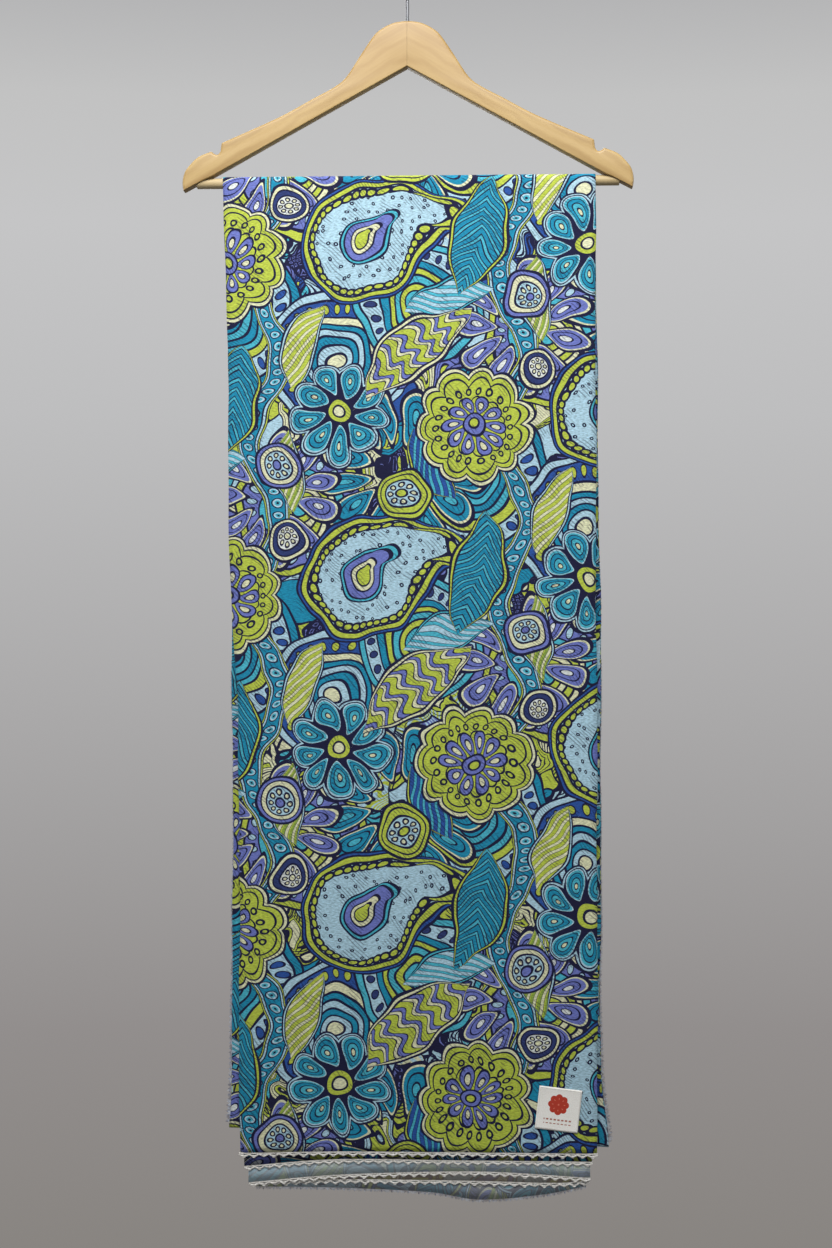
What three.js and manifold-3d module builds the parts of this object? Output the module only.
// A saree folded in three across its width, doubled end to end and hung over the bar of a
// wooden hanger. Millimetres, +Z up, front towards -Y. The origin is the inside top of the
// hook, where a rail carries it. Inside this file heights are counted from the bar's axis.
import * as THREE from 'three';
import { mergeVertices } from 'three/addons/utils/BufferGeometryUtils.js';
import Module from 'manifold-3d';

const wasm = await Module();
wasm.setup();

// Hanger
const armHalfSpan = 222;
const armThickness = 14;
const armRounding = 1.8;
const crownHeight = 157.2;
const innerPeak = 112.6;
const barRadius = 5.1;
const barHalfLength = 208;
const shankRadius = 1.8;
const shankDepth = 24;
const straightShank = 30;
const hookRadius = 22;
const hookTipAngle = 195;

// Cloth
const gap = 0.3;
const looseGap = 0.5;
const clothWall = 1.2;
const foldRadius = 7.9;
const hiddenWall = 1;
const underWall = 0.9;
const underPitch = 1.4;
const underStart = -20;
const underTopInset = 1.5;
const turnUpFront = -0.5;
const turnUpTop = -60;
const turnUpBottom = { left: -926, right: -942 };
const hiddenInset = 2.5;
const hiddenClosing = 0.44;
const plyRidge = 1.1;
const plyRidges = 3;

// Edging and label
const toothPitch = 9.3;
const toothDepth = 4.2;
const bandDepth = 2.8;
const toothSteps = 3;
const labelSide = 42;
const labelTurn = -6.6;
const labelPlace = { x: 148.4, z: -909.6 };
const labelWall = 0.6;

// The upper edge of an arm, from the crown to its notch, then round the end to the inside.
const armTop = [
  { x: -9, z: 156.4 }, { x: 2, z: crownHeight }, { x: 14.5, z: 155.2 }, { x: 26.5, z: 149 },
  { x: 34, z: 141.7 }, { x: 45.4, z: 125 }, { x: 60.5, z: 102.2 }, { x: 74, z: 91.8 },
  { x: 93, z: 81.8 }, { x: 126.7, z: 63.8 }, { x: 183.3, z: 39.1 },
];
const armEnd = [
  { x: 184.2, z: 31 }, { x: 188.2, z: 27.6 }, { x: 193, z: 31 }, { x: 206, z: 25.8 },
  { x: 214.4, z: 18 }, { x: 219.8, z: 10.5 }, { x: armHalfSpan, z: 0.5 }, { x: 221, z: -8 },
  { x: 201, z: 2.5 }, { x: 192.5, z: 6.2 },
];

// The side edges of the front leg and of the back leg at each height.
const frontEdges = [
  { z: 0, left: -181.7, right: 184.6 },
  { z: -120, left: -177.7, right: 184.6 },
  { z: -410, left: -173.8, right: 185.3 },
  { z: -530, left: -166.4, right: 186 },
  { z: -951, left: -165, right: 186.6 },
];
const backEdges = [
  { z: 0, left: -181.7, right: 184.6 },
  { z: -250, left: -176, right: 187.6 },
  { z: -500, left: -172.8, right: 188.4 },
  { z: -740, left: -173.4, right: 189.6 },
  { z: -870, left: -175, right: 191 },
  { z: -935, left: -176, right: 197 },
];

// Bottom edge of the front panel's cloth, above its edging, from left to right.
const frontHem = [
  { x: -166, z: -954.5 }, { x: 20, z: -952.5 }, { x: 187, z: -951.5 },
];
// The layers that hang just behind it: how far each is set in at its hem, and its bottom edge.
const underLayers = [
  { left: 5, right: 4.9, trimmed: true,
    hem: [{ x: -160, z: -967 }, { x: -66, z: -960.5 }, { x: 60, z: -960.5 }, { x: 182, z: -961 }] },
  { left: 9, right: 6.9, trimmed: true,
    hem: [{ x: -156, z: -983 }, { x: -66, z: -976 }, { x: 66, z: -971.5 }, { x: 180, z: -977 }] },
  { left: 11, right: 7.9, trimmed: true,
    hem: [{ x: -154, z: -981 }, { x: 60, z: -981 }, { x: 146, z: -982.5 }, { x: 179, z: -980 }] },
  { left: 16, right: 10.8, trimmed: false,
    hem: [{ x: -149, z: -992.5 }, { x: 24, z: -993.5 }, { x: 70, z: -1000 }, { x: 135, z: -994.5 },
      { x: 176, z: -986 }] },
];

// The slow swells that all the layers share: their depth, and the run of one radian of wave
// across the cloth and down it. They grow from nothing just below the bar.
const swells = [
  { depth: 1.6, across: 49, down: 500, phase: -1.2 },
  { depth: 0.5, across: 31, down: -330, phase: 1.3 },
];
const swellStart = -40;
const swellFull = -700;

// How finely the cloth is divided: across, over the bar, and down each leg.
const columns = 12;
const foldSteps = 10;
const turnSteps = 8;
const panelRows = 12;
const underRows = 7;
const riseRows = 9;
const closingRows = 4;
const hiddenHeights = [-20, -36, -56, -76, -190, -310, -430, -560, -700, -820];

const finish = (color, roughness, metalness = 0) =>
  new THREE.MeshStandardMaterial({ color, roughness, metalness });
const wood = () => finish(0xe3be85, 0.5);
const steel = () => finish(0xb8b8bc, 0.25, 1);
const print = () => finish(0x5f88a4, 0.85);
const shadedPrint = () => finish(0x3c4f66, 0.85);
const crochet = () => finish(0xd8d4cc, 0.9);
const labelCloth = () => finish(0xe9e6e0, 0.8);

const { lerp, smoothstep, degToRad } = THREE.MathUtils;

// A column of a table at a height or a place across, on a smooth curve through its rows.
function along(rows, key, column, at) {
  const sorted = [...rows].sort((a, b) => a[key] - b[key]);
  const last = sorted.length - 1;
  const found = sorted.findIndex((row) => row[key] >= at);
  const next = THREE.MathUtils.clamp(found < 0 ? last : found, 1, last);
  const slope = (i) => {
    const [before, after] = [sorted[Math.max(i - 1, 0)], sorted[Math.min(i + 1, last)]];
    return (after[column] - before[column]) / (after[key] - before[key]);
  };
  const [a, b] = [sorted[next - 1], sorted[next]];
  const span = b[key] - a[key];
  const t = THREE.MathUtils.clamp((at - a[key]) / span, 0, 1);
  const ease = t * t * (3 - 2 * t);
  return lerp(a[column], b[column], ease)
    + span * t * (1 - t) * ((1 - t) * slope(next - 1) - t * slope(next));
}

const hemAt = (hem, x) => along(hem, 'x', 'z', x);
const edgeAt = (edges, side, z) => along(edges, 'z', side, z);

function swell(x, z) {
  const grown = 1 - smoothstep(z, swellFull, swellStart);
  const wave = ({ depth, across, down, phase }) => depth * Math.sin(x / across + z / down + phase);
  return grown * swells.reduce((sum, each) => sum + wave(each), 0);
}

// Stacks closed rings of points into one body, each end closed by the cap's triangles.
function loft(rings, cap) {
  const count = rings[0].length;
  const places = rings.flat().flatMap((p) => [p.x, p.y, p.z]);
  const faces = [];
  for (let r = 0; r + 1 < rings.length; r += 1) {
    for (let i = 0; i < count; i += 1) {
      const j = (i + 1) % count;
      const [a, b, c, d] = [r * count + i, r * count + j, (r + 1) * count + j, (r + 1) * count + i];
      faces.push(a, d, b, b, d, c);
    }
  }
  const top = (rings.length - 1) * count;
  for (const [a, b, c] of cap) {
    faces.push(a, b, c, top + a, top + c, top + b);
  }
  const shape = new THREE.BufferGeometry();
  shape.setAttribute('position', new THREE.Float32BufferAttribute(places, 3));
  shape.setIndex(faces);
  return outward(shape);
}

// Turns every face of a closed body round if the body is inside out.
function outward(shape) {
  const at = shape.getAttribute('position');
  const index = shape.getIndex().array;
  const [a, b, c] = [new THREE.Vector3(), new THREE.Vector3(), new THREE.Vector3()];
  let volume = 0;
  for (let i = 0; i < index.length; i += 3) {
    a.fromBufferAttribute(at, index[i]);
    b.fromBufferAttribute(at, index[i + 1]);
    c.fromBufferAttribute(at, index[i + 2]);
    volume += a.dot(b.cross(c));
  }
  if (volume < 0) {
    for (let i = 0; i < index.length; i += 3) {
      [index[i + 1], index[i + 2]] = [index[i + 2], index[i + 1]];
    }
  }
  shape.computeVertexNormals();
  return shape;
}

// The cap of a wall's ring, which runs along the outer face, over the ridges of one side edge,
// back along the inner face and over those of the other edge.
function wallCap(across, ridges) {
  const cap = [];
  const innerAt = (i) => 2 * across + ridges + 1 - i;
  for (let i = 1; i < across - 1; i += 1) {
    cap.push([i, i + 1, innerAt(i + 1)], [i, innerAt(i + 1), innerAt(i)]);
  }
  const side = Array.from({ length: ridges }, (_, k) => k + 1);
  const right = [across - 1, across, ...side.map((k) => across + k), innerAt(across),
    innerAt(across - 1)];
  const left = [innerAt(1), innerAt(0), ...side.map((k) => innerAt(0) + k), 0, 1];
  for (const corners of [right, left]) {
    const depth = ridges + 1;
    const plan = [[-3, 0], [0, 0], ...side.map((k) => [k % 2 ? -0.3 : 0.3, k]), [0, depth],
      [-3, depth]].map(([u, v]) => new THREE.Vector2(u, v));
    for (const face of THREE.ShapeUtils.triangulateShape(plan, [])) {
      cap.push(face.map((i) => corners[i]));
    }
  }
  return cap;
}

// A wall of cloth: faces(u, row) gives its outer and inner point at a share u of its width.
function clothWallBody(rows, faces, ridges = 0) {
  const rings = rows.map((row) => {
    const pairs = shares(columns).map((u) => faces(u, row));
    const outer = pairs.map((pair) => pair.outer);
    const inner = pairs.map((pair) => pair.inner).reverse();
    const edge = (from, to, way) => Array.from({ length: ridges }, (_, k) => {
      const point = from.clone().lerp(to, (k + 1) / (ridges + 1));
      point.x += way * plyRidge * (k % 2 ? 1 : -1);
      return point;
    });
    const right = edge(outer[columns], inner[0], 1);
    const left = edge(inner[columns], outer[0], -1);
    return [...outer, ...right, ...inner, ...left];
  });
  return loft(rings, wallCap(columns, ridges));
}

const shares = (steps) => Array.from({ length: steps + 1 }, (_, i) => i / steps);

// A layer that hangs straight down behind or in front of the others.
function hangingLayer({ edges, inset, top, hem, front, wall, steps }) {
  return clothWallBody(shares(steps), (u, v) => {
    const bottomLeft = edgeAt(edges, 'left', hem[0].z) + inset.left;
    const bottomRight = edgeAt(edges, 'right', hem[0].z) - inset.right;
    const floor = hemAt(hem, lerp(bottomLeft, bottomRight, u));
    const z = lerp(top, floor, v);
    const left = edgeAt(edges, 'left', z) + lerp(Math.min(underTopInset, inset.left), inset.left, v);
    const right = edgeAt(edges, 'right', z) - lerp(Math.min(underTopInset, inset.right), inset.right, v);
    const x = lerp(left, right, u);
    const y = front + swell(x, z);
    return { outer: new THREE.Vector3(x, y, z), inner: new THREE.Vector3(x, y + wall, z) };
  });
}

function frontPanel() {
  return hangingLayer({
    edges: frontEdges, inset: { left: 0, right: 0 }, top: -gap / 2, hem: frontHem,
    front: -foldRadius, wall: clothWall, steps: panelRows,
  });
}

const underFront = (layer) => -foldRadius + clothWall + looseGap + layer * underPitch;

function underLayer(layer) {
  return hangingLayer({
    edges: frontEdges, inset: underLayers[layer], top: underStart, hem: underLayers[layer].hem,
    front: underFront(layer), wall: underWall, steps: underRows,
  });
}

// A point on the round of cloth over the bar, 0 at the front and 1 at the back.
function overBar(x, turn, radius) {
  const angle = turn * Math.PI;
  return new THREE.Vector3(x, -radius * Math.cos(angle), radius * Math.sin(angle));
}

function topFold() {
  const { left, right } = frontEdges[0];
  return clothWallBody(shares(foldSteps), (u, turn) => {
    const x = lerp(left, right, u);
    return { outer: overBar(x, turn, foldRadius), inner: overBar(x, turn, foldRadius - clothWall) };
  });
}

// Height at which the back leg turns up, by the share of its width.
const turnAt = (u) => lerp(turnUpBottom.left, turnUpBottom.right, u);
const turnMiddle = (turnUpFront + foldRadius) / 2;
const turnRadius = (foldRadius - turnUpFront) / 2;

function backPoint(u, z, y) {
  const x = lerp(edgeAt(backEdges, 'left', z), edgeAt(backEdges, 'right', z), u);
  return new THREE.Vector3(x, y + swell(x, z), z);
}

function backPanel() {
  return clothWallBody(shares(panelRows), (u, v) => {
    const z = lerp(-gap / 2, turnAt(u) + gap / 2, v);
    return { outer: backPoint(u, z, foldRadius), inner: backPoint(u, z, foldRadius - clothWall) };
  });
}

// The back leg's bottom turn and the stretch that goes up again inside it.
function backTurnUp() {
  const round = shares(turnSteps).map((turn) => ({ turn, rise: 0 }));
  const rise = shares(riseRows).slice(1).map((share) => ({ turn: 1, rise: share }));
  return clothWallBody([...round, ...rise], (u, row) => {
    const point = (radius) => {
      const angle = row.turn * Math.PI;
      const z = lerp(turnAt(u) - gap / 2, turnUpTop, row.rise) - radius * Math.sin(angle);
      return backPoint(u, z, turnMiddle + radius * Math.cos(angle));
    };
    return { outer: point(turnRadius), inner: point(turnRadius - clothWall) };
  });
}

// All the layers inside the outer one: over the bar, down the back and round at the bottom.
function hiddenLayers() {
  const outerRadius = foldRadius - clothWall - gap;
  const innerRadius = outerRadius - hiddenWall;
  const bottomRadius = turnRadius - clothWall - looseGap;
  const start = { part: 'start' };
  const over = shares(foldSteps).map((turn) => ({ part: 'over', turn }));
  const down = hiddenHeights.map((z) => ({ part: 'down', z }));
  const bottom = shares(closingRows).map((share) => ({ part: 'bottom', turn: share * hiddenClosing }));
  const inset = (point, u) => {
    point.x += lerp(hiddenInset, -hiddenInset, u);
    return point;
  };
  return clothWallBody([start, ...over, ...down, ...bottom], (u, row) => {
    let pair;
    if (row.part === 'start') {
      const z = underStart + gap;
      pair = { outer: backPoint(u, z, -outerRadius), inner: backPoint(u, z, -innerRadius) };
    } else if (row.part === 'over') {
      const x = backPoint(u, 0, 0).x;
      pair = { outer: overBar(x, row.turn, outerRadius), inner: overBar(x, row.turn, innerRadius) };
    } else if (row.part === 'down') {
      const thick = smoothstep(-row.z, -hiddenHeights[0], -hiddenHeights[3]);
      const inside = lerp(innerRadius, turnMiddle - bottomRadius, thick);
      pair = { outer: backPoint(u, row.z, outerRadius), inner: backPoint(u, row.z, inside) };
    } else {
      const angle = row.turn * Math.PI;
      const z = turnAt(u) - bottomRadius * Math.sin(angle);
      const half = bottomRadius * Math.cos(angle);
      pair = { outer: backPoint(u, z, turnMiddle + half), inner: backPoint(u, z, turnMiddle - half) };
    }
    return { outer: inset(pair.outer, u), inner: inset(pair.inner, u) };
  }, plyRidges);
}

// Crocheted edging: a plain band along a hem, with round teeth that hang from it.
function edging(hem, left, right, front, wall) {
  const teeth = Math.round((right - left) / toothPitch);
  const stations = shares(teeth * toothSteps).map((share, i) => {
    const x = lerp(left, right, share);
    const tooth = toothDepth * (i % toothSteps ? 1 : 0);
    return { x, top: hemAt(hem, x) - gap, bottom: hemAt(hem, x) - gap - bandDepth - tooth };
  });
  const rings = stations.map(({ x, top, bottom }) => {
    const [nearTop, nearBottom] = [front + swell(x, top), front + swell(x, bottom)];
    return [
      new THREE.Vector3(x, nearTop, top), new THREE.Vector3(x, nearBottom, bottom),
      new THREE.Vector3(x, nearBottom + wall, bottom), new THREE.Vector3(x, nearTop + wall, top),
    ];
  });
  return loft(rings, [[0, 1, 2], [0, 2, 3]]);
}

function merged(shape) {
  shape.deleteAttribute('normal');
  shape.deleteAttribute('uv');
  return mergeVertices(shape, 1e-4);
}

// The bare label, sewn flat near the front panel's lower right corner.
function label() {
  const steps = 4;
  const turn = degToRad(labelTurn);
  const place = (u, v) => {
    const [across, up] = [(u - 0.5) * labelSide, (0.5 - v) * labelSide];
    const x = labelPlace.x + across * Math.cos(turn) - up * Math.sin(turn);
    const z = labelPlace.z + across * Math.sin(turn) + up * Math.cos(turn);
    return { x, z, y: -foldRadius + swell(x, z) - gap };
  };
  const rings = shares(steps).map((v) => {
    const near = shares(steps).map((u) => {
      const p = place(u, v);
      return new THREE.Vector3(p.x, p.y - labelWall, p.z);
    });
    const far = shares(steps).reverse().map((u) => {
      const p = place(u, v);
      return new THREE.Vector3(p.x, p.y, p.z);
    });
    return [...near, ...far];
  });
  return loft(rings, wallCap(steps, 0));
}

const asSolid = (shape) => {
  const clean = merged(shape);
  return new wasm.Manifold(new wasm.Mesh({
    numProp: 3,
    vertProperties: new Float32Array(clean.getAttribute('position').array),
    triVerts: new Uint32Array(clean.getIndex().array),
  }));
};

function asShape(solid) {
  const mesh = solid.getMesh();
  const shape = new THREE.BufferGeometry();
  shape.setAttribute('position', new THREE.BufferAttribute(mesh.vertProperties, 3));
  shape.setIndex(new THREE.BufferAttribute(mesh.triVerts, 1));
  shape.computeVertexNormals();
  return shape;
}

// One half of the hanger, cut square at the middle seam, with the bar's socket and the hole
// for the hook's shank.
function hangerArm() {
  const outline = new THREE.Shape();
  outline.moveTo(armTop[0].x, armTop[0].z);
  outline.splineThru(armTop.slice(1).map((p) => new THREE.Vector2(p.x, p.z)));
  armEnd.forEach((p) => outline.lineTo(p.x, p.z));
  const slope = (innerPeak - armEnd.at(-1).z) / armEnd.at(-1).x;
  outline.lineTo(armTop[0].x, innerPeak - armTop[0].x * slope);
  const blank = new THREE.ExtrudeGeometry(outline, {
    depth: armThickness - 2 * armRounding,
    bevelThickness: armRounding,
    bevelSize: armRounding,
    bevelOffset: -armRounding,
    bevelSegments: 2,
    curveSegments: 2,
  });
  blank.translate(0, 0, armRounding - armThickness / 2);
  blank.rotateX(Math.PI / 2);

  const half = new THREE.BoxGeometry(armHalfSpan * 2, armThickness * 2, crownHeight * 4);
  half.translate(armHalfSpan + gap / 2, 0, 0);
  const socket = new THREE.CylinderGeometry(barRadius + gap, barRadius + gap, barHalfLength, 24);
  socket.rotateZ(Math.PI / 2);
  socket.translate(barHalfLength / 2 + gap, 0, 0);
  const shankHole = new THREE.CylinderGeometry(shankRadius + gap, shankRadius + gap, shankDepth * 2, 16);
  shankHole.rotateX(Math.PI / 2);
  shankHole.translate(0, 0, crownHeight);

  return asShape(
    asSolid(blank).intersect(asSolid(half)).subtract(asSolid(socket)).subtract(asSolid(shankHole)),
  );
}

function hangerBar() {
  const shape = new THREE.CylinderGeometry(barRadius, barRadius, barHalfLength * 2, 24);
  shape.rotateZ(Math.PI / 2);
  return outward(merged(shape));
}

// The hook's wire: a straight shank, a bend to one side and a round that comes back over it.
const bendTurn = Math.PI / 3;
const bendStart = crownHeight + straightShank;
const hookMiddle = bendStart + 2 * hookRadius * Math.sin(bendTurn);
const hangDrop = hookMiddle + hookRadius - shankRadius;

function hook() {
  const points = [];
  const shankFoot = crownHeight - shankDepth + gap;
  for (const share of shares(4).slice(0, -1)) {
    points.push(new THREE.Vector3(0, 0, lerp(shankFoot, bendStart, share)));
  }
  for (const share of shares(6)) {
    const angle = share * bendTurn;
    const x = hookRadius * (1 - Math.cos(angle));
    points.push(new THREE.Vector3(x, 0, bendStart + hookRadius * Math.sin(angle)));
  }
  for (const share of shares(22).slice(1)) {
    const angle = lerp(-bendTurn, degToRad(hookTipAngle), share);
    const x = hookRadius * Math.cos(angle);
    points.push(new THREE.Vector3(x, 0, hookMiddle + hookRadius * Math.sin(angle)));
  }
  const path = new THREE.CatmullRomCurve3(points, false, 'centripetal');
  const section = new THREE.Shape().absarc(0, 0, shankRadius, 0, Math.PI * 2);
  const shape = new THREE.ExtrudeGeometry(section, {
    steps: 46, extrudePath: path, curveSegments: 5,
  });
  return outward(merged(shape));
}

const saree = new THREE.Group();
const hung = new THREE.Group();
hung.position.z = -hangDrop;
saree.add(hung);

function add(name, shape, material) {
  const mesh = new THREE.Mesh(shape, material);
  mesh.name = name;
  hung.add(mesh);
  return mesh;
}

add('hanger_arm_right', hangerArm(), wood());
add('hanger_arm_left', hangerArm(), wood()).rotation.z = Math.PI;
add('hanger_bar', hangerBar(), wood());
add('hanger_hook', hook(), steel());

add('front_panel', frontPanel(), print());
add('top_fold', topFold(), print());
add('back_panel', backPanel(), print());
add('back_turn_up', backTurnUp(), shadedPrint());
add('hidden_layers', hiddenLayers(), shadedPrint());
add('trim_front', edging(frontHem, frontEdges.at(-1).left, frontEdges.at(-1).right,
  -foldRadius, clothWall), crochet());
underLayers.forEach((layer, i) => {
  add(`under_layer_${i + 1}`, underLayer(i), shadedPrint());
  if (layer.trimmed) {
    const left = frontEdges.at(-1).left + layer.left;
    const right = frontEdges.at(-1).right - layer.right;
    add(`trim_under_${i + 1}`, edging(layer.hem, left, right, underFront(i), underWall), crochet());
  }
});
add('label', label(), labelCloth());

export default saree;
